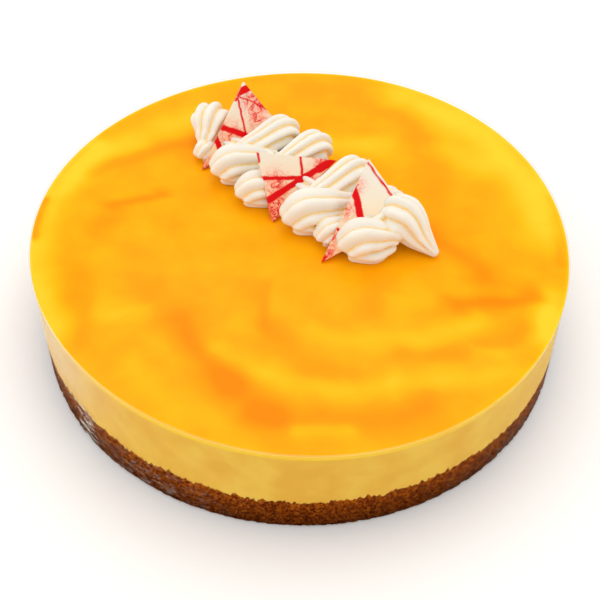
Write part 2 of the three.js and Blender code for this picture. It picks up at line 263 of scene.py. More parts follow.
# The corners of each shard's decorated face, heights above the glaze, in the order left, right, top.
# Bands of red run between two places on the face, each given as shares of the way from the left corner
# to the right corner and to the top corner, with a width in millimetres. Blushes are places with a size.
SHARDS = {
    "chocolate_shard_back": {
        "left": (-48.8, 40.3, 0.8), "right": (-13.5, 60, 14), "top": (-30.1, 67.8, 32),
        "bands": [
            ([(-0.05, 0.9), (0.17, 0.86)], 3.6), ([(-0.04, 0.86), (0, 0.8)], 1.8),
            ([(0, 0.84), (0.27, 0.65), (0.65, 0.35)], 0.8), ([(0.03, 0.8), (0.25, 0.49), (0.5, 0.14)], 1.0),
            ([(-0.05, 0.52), (0.29, 0.28), (0.65, 0.02)], 2.8),
            ([(-0.03, 0.38), (0.08, 0.25), (0.17, 0.12)], 2.7),
            ([(-0.03, 0.3), (-0.04, 0.41)], 1.6),
        ],
        "blushes": [((0.51, 0.5), 5), ((0.3, 0.62), 4), ((0.59, 0.26), 4), ((0.2, 0.31), 5), ((0, 0.05), 4)],
    },
    "chocolate_shard_middle": {
        "left": (-21.7, 26.2, 25), "right": (-13.8, 6.3, 0.8), "top": (14.3, 32.6, 16),
        "bands": [
            ([(0.38, -0.04), (0.35, 0.21), (0.31, 0.48)], 1.8),
            ([(0.72, -0.04), (0.38, 0.42), (0.15, 0.74)], 3.0), ([(0.15, 0.74), (-0.01, 1.01)], 3.8),
            ([(0, 0.54), (0.27, 0.51)], 1.2), ([(-0.01, 0.45), (-0.01, 0.92)], 0.6),
            ([(0.02, 0), (0.14, -0.01)], 1.2),
        ],
        "blushes": [
            ((0.42, 0.15), 5), ((0.76, 0.11), 6), ((0.06, 0.8), 4), ((0.9, 0.05), 4), ((0.3, 0.6), 3)],
    },
    "chocolate_shard_front": {
        "left": (8.4, -18.1, 0.8), "right": (46.4, -1.5, 15), "top": (27.7, 15.8, 32),
        "bands": [
            ([(-0.1, 0.81), (0.09, 0.58), (0.27, 0.32)], 3.1), ([(-0.06, 0.37), (0.1, 0.25)], 1.4),
            ([(0.02, 0.95), (0.4, 0.57), (0.78, 0.19)], 1.0), ([(-0.02, 0), (0.01, 0.05)], 2.2),
        ],
        "blushes": [((0, 0.51), 3.5), ((0, 0.25), 3.5), ((0, 0.75), 3), ((0.05, 0.05), 4)],
    },
}


def roundness(angle, height):
    """How far the cake is out of round, as a factor on the radius. The foot is a true circle."""
    sizes = settings().layers
    lobes = (sizes.two_sin * math.sin(2 * angle)
             + sizes.three_cos * math.cos(3 * angle)
             + sizes.three_sin * math.sin(3 * angle))
    return 1 + height / sizes.glaze_top * lobes


def cake_centre():
    """The shift that brings the middle of the out-of-round outline to the origin."""
    sizes = settings().layers
    turns = [math.tau * i / 720 for i in range(720)]
    rims = [(sizes.radius * roundness(a, z), a) for a in turns for z in (sizes.film_foot, sizes.film_top)]
    across = [r * math.cos(a) for r, a in rims]
    along = [r * math.sin(a) for r, a in rims]
    return Vector((-(min(across) + max(across)) / 2, -(min(along) + max(along)) / 2, 0))


# ---------------------------------------------------------------- modelling by hand, in code


def select_only(*objects):
    """Selects these objects and no others, and makes the first of them active."""
    bpy.ops.object.select_all(action="DESELECT")
    for item in objects:
        item.select_set(True)
    bpy.context.view_layer.objects.active = objects[0]


def new_piece(name):
    """The object that the last operator added, named."""
    piece = bpy.context.active_object
    piece.name = name
    piece.data.name = name
    return piece


def edit_only(piece, kind, wanted):
    """Opens a piece in edit mode with only the wanted vertices, edges or polygons selected."""
    select_only(piece)
    mesh = piece.data
    for group in (mesh.vertices, mesh.edges, mesh.polygons):
        group.foreach_set("select", [False] * len(group))
    for item in getattr(mesh, kind):
        item.select = wanted(item)
    kinds = ("vertices", "edges", "polygons")
    bpy.context.tool_settings.mesh_select_mode = [kind == k for k in kinds]
    bpy.ops.object.mode_set(mode="EDIT")


def close_edit():
    """Leaves edit mode."""
    bpy.ops.object.mode_set(mode="OBJECT")


def finish_with(piece, kind, **values):
    """Adds a modifier to a piece and applies it."""
    select_only(piece)
    modifier = piece.modifiers.new(kind.title(), kind)
    for name, value in values.items():
        setattr(modifier, name, value)
    bpy.ops.object.modifier_apply(modifier=modifier.name)


def place_in_mesh(piece):
    """Moves a piece's place, turn and size into its mesh."""
    select_only(piece)
    bpy.ops.object.transform_apply(location=True, rotation=True, scale=True)


def smooth(piece, angle):
    """Shades a piece smooth, but for edges sharper than an angle in degrees."""
    select_only(piece)
    bpy.ops.object.shade_smooth_by_angle(angle=math.radians(angle))


def move_points(piece, move):
    """Moves every vertex of a piece by a function of its place."""
    for vertex in piece.data.vertices:
        vertex.co = move(vertex.co.copy())
    piece.data.update()


def paint(piece, name, value_at):
    """Stores a value on every vertex of a piece, worked out from its place."""
    attribute = piece.data.attributes.new(name, "FLOAT", "POINT")
    attribute.data.foreach_set("value", [value_at(vertex.co) for vertex in piece.data.vertices])


def out_of_round(point):
    """A point of a true drum, moved to where it lies on the real, uneven cake."""
    factor = roundness(math.atan2(point.y, point.x), point.z)
    return Vector((point.x * factor, point.y * factor, point.z))


def settle(piece, node):
    """Brings a piece to the cake's own centre and hands it to the frame, in the place of a CAD node."""
    shift = cake_centre()
    move_points(piece, lambda point: point + shift)
    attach(piece, "root")
    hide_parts(node)


def cut_rows(piece, low, high, rows):
    """Divides a wall's upright edges between two heights into rows."""
    def upright(edge):
        ends = [piece.data.vertices[i].co for i in edge.vertices]
        lowest, highest = sorted(p.z for p in ends)
        return highest - lowest > SAME_HEIGHT and lowest > low - SAME_HEIGHT and highest < high + SAME_HEIGHT

    edit_only(piece, "edges", upright)
    bpy.ops.mesh.subdivide(number_cuts=rows - 1)
    close_edit()


def cut_rings(piece, height, radii):
    """Draws the flat face at a height inwards again and again, from the first radius to each of the rest."""
    edit_only(piece, "polygons",
              lambda face: face.normal.z > 0.9 and abs(face.center.z - height) < SAME_HEIGHT)
    for wider, slimmer in zip(radii, radii[1:]):
        bpy.ops.mesh.extrude_region_move()
        bpy.ops.transform.resize(value=(slimmer / wider, slimmer / wider, 1), center_override=(0, 0, height))
    close_edit()


def drum(name, radius, low, high, segments, ends):
    """An upright drum between two heights. Its ends are a fan of triangles, one face or open."""
    bpy.ops.object.select_all(action="DESELECT")
    bpy.ops.mesh.primitive_cylinder_add(
        vertices=segments, radius=radius, depth=high - low, location=(0, 0, (low + high) / 2),
        end_fill_type=ends)
    piece = new_piece(name)
    place_in_mesh(piece)
    return piece


# The waves of the line where mousse meets crumb: how many there are round the cake, phase and height in mm.
CRUMB_WAVES = ((5, 0.4, 0.35), (13, 1.9, 0.3), (29, 4.4, 0.25), (47, 2.3, 0.2))
# The single crumbs along that line: their width and height, and their noise's roughness, fineness and number
# of sizes.
RAGGED_WIDTH = 1.8 * MM
RAGGED_HEIGHT = 2.2 * MM
RAGGED_NOISE = (0.5, 2.2, 3)


def crumb_line(angle):
    """How far the line where mousse meets crumb lies above or below its middle height."""
    line = sum(h * math.sin(n * angle + phase) for n, phase, h in CRUMB_WAVES) * MM
    spot = Vector((math.cos(angle), math.sin(angle), 0)) * (settings().layers.radius / RAGGED_WIDTH)
    return line + noise.fractal(spot, *RAGGED_NOISE) * RAGGED_HEIGHT


# ---------------------------------------------------------------- materials


def add_node(tree, kind, inputs=None, stops=None, **values):
    """Adds one node with its settings, colour stops, and inputs that are values or links."""
    node = tree.nodes.new(kind)
    for name, value in values.items():
        setattr(node, name, value)
    for name, value in (inputs or {}).items():
        if isinstance(value, bpy.types.NodeSocket):
            tree.links.new(value, node.inputs[name])
        else:
            node.inputs[name].default_value = value
    if stops:
        ramp = node.color_ramp
        while len(ramp.elements) < len(stops):
            ramp.elements.new(0.5)
        for element, (place, value) in zip(ramp.elements, stops):
            element.position = place
            element.color = (*value, 1)
    return node


def new_material(name):
    """An empty material, its node tree and its output."""
    material = bpy.data.materials.new(name)
    material.use_nodes = True
    material.node_tree.nodes.clear()
    return material, material.node_tree, add_node(material.node_tree, "ShaderNodeOutputMaterial")


def object_coords(tree, scale_mm):
    """Object coordinates counted in a pattern's real size in millimetres."""
    place = add_node(tree, "ShaderNodeTexCoord").outputs["Object"]
    scale = (1 / (scale_mm * MM),) * 3
    return add_node(tree, "ShaderNodeMapping", {"Vector": place, "Scale": scale}).outputs[0]


def object_height(tree):
    """The height above the underside of the cake."""
    place = add_node(tree, "ShaderNodeTexCoord").outputs["Object"]
    return add_node(tree, "ShaderNodeSeparateXYZ", {0: place}).outputs["Z"]


def round_the_cake(tree, around_mm, upward_mm):
    """Coordinates that run round the side of the cake and up it, with the join at the back."""
    place = add_node(tree, "ShaderNodeTexCoord").outputs["Object"]
    axes = add_node(tree, "ShaderNodeSeparateXYZ", {0: place}).outputs
    toward = add_node(tree, "ShaderNodeMath", {0: axes["Y"], 1: -1.0}, operation="MULTIPLY").outputs[0]
    angle = add_node(tree, "ShaderNodeMath", {0: axes["X"], 1: toward}, operation="ARCTAN2").outputs[0]
    around = settings().layers.radius / (around_mm * MM)
    upward = 1 / (upward_mm * MM)
    arc = add_node(tree, "ShaderNodeMath", {0: angle, 1: around}, operation="MULTIPLY").outputs[0]
    rise = add_node(tree, "ShaderNodeMath", {0: axes["Z"], 1: upward}, operation="MULTIPLY").outputs[0]
    return add_node(tree, "ShaderNodeCombineXYZ", {"X": arc, "Y": rise}).outputs[0]


def wear(piece, material):
    """Gives a piece its only material."""
    piece.data.materials.clear()
    piece.data.materials.append(material)


def baked_biscuit_crumb():
    """Baked biscuit crumb pressed with butter: matt, with dark crumbs and painted shade between the grains,
    and sugary crumbs and painted highlights on them.

    The grains are as large as real biscuit crumbs. Towards its foot it is darkened with painted shade.
    """
    colours = settings().colours
    material, tree, output = new_material("baked_biscuit_crumb")
    grains = add_node(tree, "ShaderNodeTexVoronoi", {"Vector": object_coords(tree, 1.0), "Scale": 1.0})
    patches = add_node(tree, "ShaderNodeTexNoise", {
        "Vector": object_coords(tree, 1.9), "Scale": 1.0, "Detail": 6.0, "Roughness": 0.7})
    patchy = patches.outputs[0]
    mixed = add_node(tree, "ShaderNodeMath", {
        0: grains.outputs["Distance"], 1: patchy, 2: patchy}, operation="MULTIPLY_ADD")
    # Painted shade and highlights: the dark and pale tones stand partly for shade between the grains and light
    # on them.
    tint = add_node(tree, "ShaderNodeValToRGB", {"Fac": mixed.outputs[0]}, stops=[
        (0.34, colours.crumb_dark_and_shade), (0.64, colours.crumb_mid), (1.0, colours.crumb_light_and_highlight)])
    # Painted shade: the crumb darkens towards its foot.
    foot_painted_shade = add_node(tree, "ShaderNodeMapRange", {
        "Value": object_height(tree), "From Max": settings().layers.base_top, "To Min": 0.8, "To Max": 0.0})
    # The painted shade at the foot is mixed into the crumb's tones here.
    baked = add_node(tree, "ShaderNodeMix", {
        "Factor": foot_painted_shade.outputs[0], "A": tint.outputs[0], "B": (*colours.crumb_dark_and_shade, 1)}, data_type="RGBA")
    # Fine crumb of 0.1 to 0.3 mm doesn't show in the picture, so its relief is drawn at 0.6 mm.
    fine = add_node(tree, "ShaderNodeTexNoise", {
        "Vector": object_coords(tree, 0.6), "Scale": 1.0, "Detail": 3.0})
    relief = add_node(tree, "ShaderNodeBump", {
        "Height": fine.outputs[0], "Distance": 0.3 * MM, "Strength": 0.5})
    shader = add_node(tree, "ShaderNodeBsdfPrincipled", {
        "Base Color": baked.outputs["Result"], "Normal": relief.outputs[0], "Roughness": 0.85, "IOR": 1.45,
        "Specular IOR Level": 0.02})
    tree.links.new(shader.outputs[0], output.inputs[0])
    return material


def set_fruit_mousse():
    """Set fruit mousse: satin, slightly see-through, with fine air cells pressed flat by the film."""
    colours = settings().colours
    material, tree, output = new_material("set_fruit_mousse")
    cloud = add_node(tree, "ShaderNodeTexNoise", {
        "Vector": object_coords(tree, 14), "Scale": 1.0, "Detail": 4.0, "Roughness": 0.55})
    tint = add_node(tree, "ShaderNodeValToRGB", {"Fac": cloud.outputs[0]}, stops=[
        (0.35, colours.mousse_deep), (0.65, colours.mousse)])
    # Air cells are about 0.2 mm wide, too fine for the picture, so they are drawn at 0.9 mm.
    cells = add_node(tree, "ShaderNodeTexNoise", {
        "Vector": object_coords(tree, 0.9), "Scale": 1.0, "Detail": 2.0})
    relief = add_node(tree, "ShaderNodeBump", {
        "Height": cells.outputs[0], "Distance": 0.08 * MM, "Strength": 0.5})
    shader = add_node(tree, "ShaderNodeBsdfPrincipled", {
        "Base Color": tint.outputs[0], "Normal": relief.outputs[0], "Roughness": 0.5, "IOR": 1.4,
        "Subsurface Weight": 0.35, "Subsurface Radius": (1.0, 0.6, 0.25), "Subsurface Scale": 2 * MM,
        "Specular IOR Level": 0.08})
    tree.links.new(shader.outputs[0], output.inputs[0])
    return material


def poured_fruit_jelly():
    """Poured fruit jelly: wet and mirror-smooth, yellow with soft orange swirls stirred through it."""
    colours = settings().colours
    material, tree, output = new_material("poured_fruit_jelly")
    swirl = add_node(tree, "ShaderNodeAttribute", attribute_name="swirl").outputs["Fac"]
    cloud = add_node(tree, "ShaderNodeTexNoise", {
        "Vector": object_coords(tree, 16), "Scale": 1.0, "Detail": 4.0, "Roughness": 0.5})
    amount = add_node(tree, "ShaderNodeMath", {
        0: cloud.outputs[0], 1: 0.3, 2: swirl}, operation="MULTIPLY_ADD")
    tint = add_node(tree, "ShaderNodeValToRGB", {"Fac": amount.outputs[0]}, stops=[
        (0.12, colours.glaze_pale), (0.36, colours.glaze_yellow), (0.56, colours.glaze_gold),
        (0.92, colours.glaze_orange)])
    # The poured top has shallow waves of about 9 mm.
    ripples = add_node(tree, "ShaderNodeTexNoise", {
        "Vector": object_coords(tree, 9), "Scale": 1.0, "Detail": 2.0})
    relief = add_node(tree, "ShaderNodeBump", {
        "Height": ripples.outputs[0], "Distance": 0.1 * MM, "Strength": 0.25})
    shader = add_node(tree, "ShaderNodeBsdfPrincipled", {
        "Base Color": tint.outputs[0], "Normal": relief.outputs[0], "Roughness": 0.12, "IOR": 1.36,
        "Specular IOR Level": 0.09,
        "Subsurface Weight": 0.2, "Subsurface Radius": (1.0, 0.5, 0.1), "Subsurface Scale": 2.5 * MM})
    tree.links.new(shader.outputs[0], output.inputs[0])
    return material


# The film's tints, as shares of the light: looked through, looked through at its free lip with painted grey,
# the painted pale haze thrown back softly at the lip and on one side, and mirrored where it is wrinkled.
FILM_CLEAR = (0.99, 0.99, 0.985, 1)
FILM_LIP_PAINTED_GREY = (0.95, 0.945, 0.935, 1)
FILM_PAINTED_HAZE = (1.0, 0.97, 0.84, 1)
FILM_GLOSS = (1.0, 0.93, 0.82, 1)


def clear_acetate_film():
    """Clear acetate film: it is seen through, with painted grey and a painted highlight line at its free lip,
    painted pale haze on one side, and glossy in its wrinkles.

    The wrinkles are streaks of 6 mm round the cake and 1.1 mm up it.
    """
    material, tree, output = new_material("clear_acetate_film")
    creases = add_node(tree, "ShaderNodeTexNoise", {
        "Vector": round_the_cake(tree, 6, 1.1), "Scale": 1.0, "Detail": 4.0, "Distortion": 1.2})
    relief = add_node(tree, "ShaderNodeBump", {
        "Height": creases.outputs[0], "Distance": 0.3 * MM, "Strength": 0.5})
    gloss = add_node(tree, "ShaderNodeBsdfGlossy", {
        "Color": FILM_GLOSS, "Roughness": 0.15, "Normal": relief.outputs[0]})
    lip = add_node(tree, "ShaderNodeAttribute", attribute_name="lip").outputs["Fac"]
    clouded = add_node(tree, "ShaderNodeAttribute", attribute_name="clouded").outputs["Fac"]
    # Painted shade: the free lip is greyed.
    tinted = add_node(tree, "ShaderNodeMix", {
        "Factor": lip, "A": FILM_CLEAR, "B": FILM_LIP_PAINTED_GREY}, data_type="RGBA")
    seen = add_node(tree, "ShaderNodeBsdfTransparent", {"Color": tinted.outputs["Result"]})
    # Painted highlight and reflection: pale haze at the free lip and on one side of the upper film.
    painted_haze = add_node(tree, "ShaderNodeBsdfDiffuse", {"Color": FILM_PAINTED_HAZE})
    haze = add_node(tree, "ShaderNodeMath", {0: lip, 1: 0.06, 2: clouded}, operation="MULTIPLY_ADD")
    hazy = add_node(tree, "ShaderNodeMixShader", {
        "Fac": haze.outputs[0], 1: seen.outputs[0], 2: painted_haze.outputs[0]})
    facing = add_node(tree, "ShaderNodeLayerWeight", {"Blend": 0.5}).outputs["Facing"]
    grazing = add_node(tree, "ShaderNodeMath", {0: facing, 1: 5.0}, operation="POWER")
    streaks = add_node(tree, "ShaderNodeValToRGB", {"Fac": creases.outputs[0]}, stops=[
        (0.52, (0,) * 3), (0.68, (1,) * 3)])
    wrinkled = add_node(tree, "ShaderNodeAttribute", attribute_name="wrinkled").outputs["Fac"]
    shine = add_node(tree, "ShaderNodeMath", {0: streaks.outputs[0], 1: wrinkled}, operation="MULTIPLY")
    sheen = add_node(tree, "ShaderNodeMath", {
        0: grazing.outputs[0], 1: 0.05, 2: shine.outputs[0]}, operation="MULTIPLY_ADD")
    glossy = add_node(tree, "ShaderNodeMixShader", {
        "Fac": sheen.outputs[0], 1: hazy.outputs[0], 2: gloss.outputs[0]})
    tree.links.new(glossy.outputs[0], output.inputs[0])
    return material


def whipped_cream_surface():
    """Whipped cream from a nozzle: soft white with warm light inside it, painted warm shade in its creases,
    and a faint wet sheen.
    """
    colours = settings().colours
    material, tree, output = new_material("whipped_cream_surface")
    # The froth's bubbles are under 0.1 mm, too fine for the picture, so its unevenness is drawn at 1.4 mm.
    froth = add_node(tree, "ShaderNodeTexNoise", {
        "Vector": object_coords(tree, 1.4), "Scale": 1.0, "Detail": 3.0})
    relief = add_node(tree, "ShaderNodeBump", {
        "Height": froth.outputs[0], "Distance": 0.12 * MM, "Strength": 0.35})
    warmth = add_node(tree, "ShaderNodeTexNoise", {
        "Vector": object_coords(tree, 12), "Scale": 1.0, "Detail": 2.0})
    outside = add_node(tree, "ShaderNodeValToRGB", {"Fac": warmth.outputs[0]}, stops=[
        (0.3, [0.96 * c for c in colours.cream]), (0.7, colours.cream)])
    # Painted shade: the creases are tinted towards a warm, darker cream.
    crease = add_node(tree, "ShaderNodeAttribute", attribute_name="crease").outputs["Fac"]
    tint = add_node(tree, "ShaderNodeMix", {
        "Factor": crease, "A": outside.outputs[0], "B": (*colours.cream_painted_shade, 1)}, data_type="RGBA")
    shader = add_node(tree, "ShaderNodeBsdfPrincipled", {
        "Base Color": tint.outputs["Result"], "Normal": relief.outputs[0], "Roughness": 0.42, "IOR": 1.4,
        "Subsurface Weight": 0.5, "Subsurface Radius": (1.0, 0.8, 0.5), "Subsurface Scale": 3.5 * MM,
        "Specular IOR Level": 0.3})
    tree.links.new(shader.outputs[0], output.inputs[0])
    return material


def marbled_white_chocolate():
    """Tempered white chocolate with berry-coloured bands and fine veins brushed through it.

    The veins wind every 3 mm or so, and the wash of colour round them is patchy at 2 mm. Low down, the warm
    glow of the jelly is painted on.
    """
    colours = settings().colours
    material, tree, output = new_material("marbled_white_chocolate")
    band = add_node(tree, "ShaderNodeAttribute", attribute_name="band").outputs["Fac"]
    blush = add_node(tree, "ShaderNodeAttribute", attribute_name="blush").outputs["Fac"]
    wander = add_node(tree, "ShaderNodeTexNoise", {
        "Vector": object_coords(tree, 3.2), "Scale": 1.0, "Detail": 5.0, "Roughness": 0.6, "Distortion": 0.6})
    level = add_node(tree, "ShaderNodeMath", {0: wander.outputs[0], 1: 0.5}, operation="SUBTRACT")
    closeness = add_node(tree, "ShaderNodeMath", {0: level.outputs[0]}, operation="ABSOLUTE")
    vein = add_node(tree, "ShaderNodeValToRGB", {"Fac": closeness.outputs[0]}, stops=[
        (0.01, (1.0,) * 3), (0.07, (0,) * 3)])
    cloud = add_node(tree, "ShaderNodeTexNoise", {
        "Vector": object_coords(tree, 2.0), "Scale": 1.0, "Detail": 4.0, "Roughness": 0.6})
    wash = add_node(tree, "ShaderNodeValToRGB", {"Fac": cloud.outputs[0]}, stops=[
        (0.3, (0.25,) * 3), (0.65, (1,) * 3)])
    washed = add_node(tree, "ShaderNodeMath", {0: wash.outputs[0], 1: blush}, operation="MULTIPLY")
    threads = add_node(tree, "ShaderNodeMath", {0: vein.outputs[0], 1: blush}, operation="MULTIPLY")
    # Painted light: each shard is painted warmer low down, towards the glaze, for the jelly's glow.
    foot = settings().layers.glaze_top
    raised = add_node(tree, "ShaderNodeMapRange", {
        "Value": object_height(tree), "From Min": foot + 6 * MM, "From Max": foot + 26 * MM})
    tint = add_node(tree, "ShaderNodeMix", {
        "Factor": raised.outputs[0], "A": (*colours.chocolate_painted_glow, 1), "B": (*colours.chocolate, 1)},
        data_type="RGBA").outputs["Result"]
    for amount, shade in ((washed.outputs[0], colours.berry_pale), (threads.outputs[0], colours.berry),
                          (band, colours.berry)):
        tint = add_node(tree, "ShaderNodeMix", {"Factor": amount, "A": tint, "B": (*shade, 1)},
                        data_type="RGBA").outputs["Result"]
    shader = add_node(tree, "ShaderNodeBsdfPrincipled", {
        "Base Color": tint, "Roughness": 0.3, "IOR": 1.45, "Specular IOR Level": 0.14,
        "Subsurface Weight": 0.15, "Subsurface Radius": (1.0, 0.6, 0.4), "Subsurface Scale": 1.0 * MM})
    tree.links.new(shader.outputs[0], output.inputs[0])
    return material


def pale_studio_floor():
    """A pale painted studio floor: matt, with a trace of mottling."""
    material, tree, output = new_material("pale_studio_floor")
    mottle = add_node(tree, "ShaderNodeTexNoise", {
        "Vector": object_coords(tree, 150), "Scale": 1.0, "Detail": 3.0})
    tone = settings().studio.floor
    tint = add_node(tree, "ShaderNodeValToRGB", {"Fac": mottle.outputs[0]}, stops=[
        (0.3, [0.99 * c for c in tone]), (0.7, tone)])
    shader = add_node(tree, "ShaderNodeBsdfPrincipled", {"Base Color": tint.outputs[0], "Roughness": 0.7})
    tree.links.new(shader.outputs[0], output.inputs[0])
    return material


# ---------------------------------------------------------------- the pieces


# How finely the layers are divided: sides of a drum, and rows of faces up each wall.
LAYER_SIDES = 1200
RIM_SIDES = 480
BASE_ROWS = 26
MOUSSE_ROWS = 10
GLAZE_ROWS = 4
FILM_ROWS = 16

# The bites in the crumb's side, as shares of the crumb depth: what rough noise and missing crumbs add to the
# least bite, the deepest bite, and the noise's roughness, fineness and number of sizes.
BITE_NOISE = (0.6, 2.1, 4)
BITE_ROUGH = 0.6
BITE_CRUMB = 0.35
BITE_LEAST = 0.25
BITE_DEEPEST = 1.4
MISSING_CRUMB = 0.9
# The crumb is pressed flat at its foot, up to a height, and under the mousse.
FOOT_BITE = 0.3
FOOT_HEIGHT = 3 * MM
TOP_PRESSED = 0.8


class CAKE_OT_crumb_base(bpy.types.Operator):
    """Press the crumb base"""

    bl_idname = "cake.crumb_base"
    bl_label = "Crumb Base"

    def execute(self, context):
        sizes = settings().layers
        reach = sizes.radius - sizes.film_thickness - sizes.film_gap
        piece = drum("biscuit_base", reach, 0, sizes.base_top, LAYER_SIDES, "TRIFAN")
        cut_rows(piece, 0, sizes.base_top, BASE_ROWS)

        def roughen(point):
            if math.hypot(point.x, point.y) < reach * SIDE_SHARE:
                return point
            rise = point.z / sizes.base_top
            spot = point / sizes.crumb_size
            rough = noise.fractal(spot, *BITE_NOISE) * BITE_ROUGH
            bite = rough + noise.cell(spot * MISSING_CRUMB) * BITE_CRUMB + BITE_LEAST
            pressed = min(1, FOOT_BITE + point.z / FOOT_HEIGHT) * (1 - TOP_PRESSED * rise ** 8)
            depth = max(0, min(BITE_DEEPEST, bite)) * sizes.crumb_depth * pressed
            rounding = sizes.foot_rounding * (1 - min(1, point.z / sizes.foot_rounding)) ** 2
            factor = 1 - (depth + rounding) / reach
            height = point.z + rise ** 3 * crumb_line(math.atan2(point.y, point.x))
            return Vector((point.x * factor, point.y * factor, height))

        move_points(piece, roughen)
        move_points(piece, out_of_round)
        smooth(piece, 50)
        wear(piece, baked_biscuit_crumb())
        settle(piece, "crumb_base")
        return {"FINISHED"}


class CAKE_OT_mousse(bpy.types.Operator):
    """Set the mousse layer on the crumb"""

    bl_idname = "cake.mousse"
    bl_label = "Mousse"

    def execute(self, context):
        sizes = settings().layers
        reach = sizes.radius - sizes.film_thickness - sizes.film_gap
        top = sizes.mousse_top + sizes.mousse_lap
        piece = drum("set_mousse", reach, sizes.base_top, top, LAYER_SIDES, "TRIFAN")
        cut_rows(piece, sizes.base_top, top, MOUSSE_ROWS)

        def lower_line(point):
            inside = math.hypot(point.x, point.y) < reach * SIDE_SHARE
            if inside or point.z > sizes.base_top + SAME_HEIGHT:
                return point
            return Vector((point.x, point.y, point.z + crumb_line(math.atan2(point.y, point.x))))

        move_points(piece, lower_line)
        move_points(piece, out_of_round)
        smooth(piece, 50)
        wear(piece, set_fruit_mousse())
        settle(piece, "mousse_layer")
        return {"FINISHED"}


# The way the jelly was stirred round the middle: each streak runs from one radius in mm and angle in degrees
# to another, with its width in mm and its strength, orange above nought and pale yellow below it.
STREAKS = [
    ((73, -131), (90, -108), 8, 0.62), ((90, -108), (100, -94), 8, 0.42), ((102, -100), (105, -60), 6, 0.46),
    ((40, -113), (60, -103), 7, 0.35), ((60, -103), (84, -76), 7, 0.22), ((58, 0), (84, -16), 9, 0.5),
    ((78, -30), (106, -19), 7, 0.7), ((104, 159), (80, 130), 5, 0.4), ((87, 169), (70, 162), 4.5, 0.55),
    ((92, -178), (87, -184), 5, 0.3), ((101, -163), (110, -146), 7, 0.3), ((74, -150), (76, -138), 9, 0.25),
    ((42, -42), (54, -56), 8, 0.2), ((119, -188), (119, -177), 3, 0.8), ((118, -6), (119, 14), 3, 0.3),
    ((108, 92), (98, 66), 9, 0.15), ((98, 62), (68, 24), 9, 0.2), ((80, -58), (108, -29), 5, 0.25),
    ((112, 65), (112, 4), 12, -0.6), ((114, 152), (119, 211), 7, -0.5), ((76, -117), (92, -66), 5, -0.35),
    ((92, -62), (114, -40), 6, -0.3), ((55, -85), (88, -33), 6, -0.3), ((107, -89), (108, -80), 4, -0.5),
    ((64, 82), (72, 60), 7, -0.4), ((98, -149), (84, -144), 8, -0.3), ((104, -130), (111, -106), 6, -0.15),
    ((112, -17), (117, -28), 6, -0.7), ((97, -42), (105, -38), 4, -0.3), ((100, 126), (108, 161), 9, -0.35),
    ((90, 43), (96, 30), 8, -0.3), ((56, -43), (63, -37), 8, -0.2), ((61, -116), (62, -104), 5, -0.2),
]

# How orange the jelly is with no streak, how much a streak of strength 1 adds, how much paler the jelly is at
# the film, partly where it thins out and partly as a painted highlight line along the rim, and how far in that
# reaches.
PLAIN_SWIRL = 0.35
STREAK_SHARE = 0.6
RIM_PALE_AND_HIGHLIGHT = 0.4
RIM_PALE_AND_HIGHLIGHT_WIDTH = 0.7 * MM
# The streaks wander: the size of the wandering, and how far it goes in mm.
STREAK_DRIFTS = ((24 * MM, 3), (9 * MM, 1.2))
# The jelly climbs the film, and swells slowly from place to place: heights and widths.
CLIMB = 0.5 * MM
CLIMB_WIDTH = 0.9 * MM
SWELL = 0.15 * MM
SWELL_WIDTH = 38 * MM
# The rings of faces on its top: their distances from the rim, and the width of the rest.
RIM_RINGS = (0, 0.4 * MM, 0.9 * MM, 1.6 * MM)
RING_WIDTH = 2.5 * MM


class CAKE_OT_glaze(bpy.types.Operator):
    """Pour the jelly glaze"""

    bl_idname = "cake.glaze"
    bl_label = "Glaze"

    def execute(self, context):
        sizes = settings().layers
        reach = sizes.radius - sizes.film_thickness - sizes.glaze_gap
        rim = [reach - inward for inward in RIM_RINGS]
        rings = [*rim, *(rim[-1] - RING_WIDTH * i for i in range(1, int(rim[-1] / RING_WIDTH)))]
        piece = drum("poured_glaze", reach, sizes.mousse_top, sizes.glaze_top, RIM_SIDES, "NGON")
        cut_rows(piece, sizes.mousse_top, sizes.glaze_top, GLAZE_ROWS)
        cut_rings(piece, sizes.glaze_top, rings)

        def settle_surface(point):
            if point.z < sizes.glaze_top - SAME_HEIGHT:
                return point
            climb = CLIMB * math.exp(-(reach - math.hypot(point.x, point.y)) / CLIMB_WIDTH)
            swell = noise.noise(point / SWELL_WIDTH) * SWELL
            return Vector((point.x, point.y, point.z + climb + swell))

        def orange(point):
            spot = Vector((point.x / MM, point.y / MM))
            for size, far in STREAK_DRIFTS:
                spot += (noise.noise_vector(point / size) * far).xy
            # Paler at the rim: thinner jelly, and a painted highlight line.
            rim = math.exp((math.hypot(point.x, point.y) - reach) / RIM_PALE_AND_HIGHLIGHT_WIDTH)
            total = PLAIN_SWIRL - RIM_PALE_AND_HIGHLIGHT * rim
            for start, end, width, strength in STREAKS:
                nearness = math.exp(-(self.off_streak(spot, start, end) / width) ** 2)
                total += STREAK_SHARE * strength * nearness
            return total

        move_points(piece, settle_surface)
        paint(piece, "swirl", orange)
        move_points(piece, out_of_round)
        smooth(piece, 50)
        wear(piece, poured_fruit_jelly())
        settle(piece, "glaze_layer")
        return {"FINISHED"}

    def off_streak(self, spot, start, end):
        """How far a spot is from a streak, in millimetres."""
        low, high = sorted((start, end), key=lambda place: place[1])
        middle = (low[1] + high[1]) / 2
        angle = math.degrees(math.atan2(spot.y, spot.x))
        angle += 360 * round((middle - angle) / 360)
        held = max(low[1], min(high[1], angle))
        radius = low[0] + (high[0] - low[0]) * (held - low[1]) / (high[1] - low[1])
        nearest = Vector((radius * math.cos(math.radians(held)), radius * math.sin(math.radians(held))))
        return (spot - nearest).length


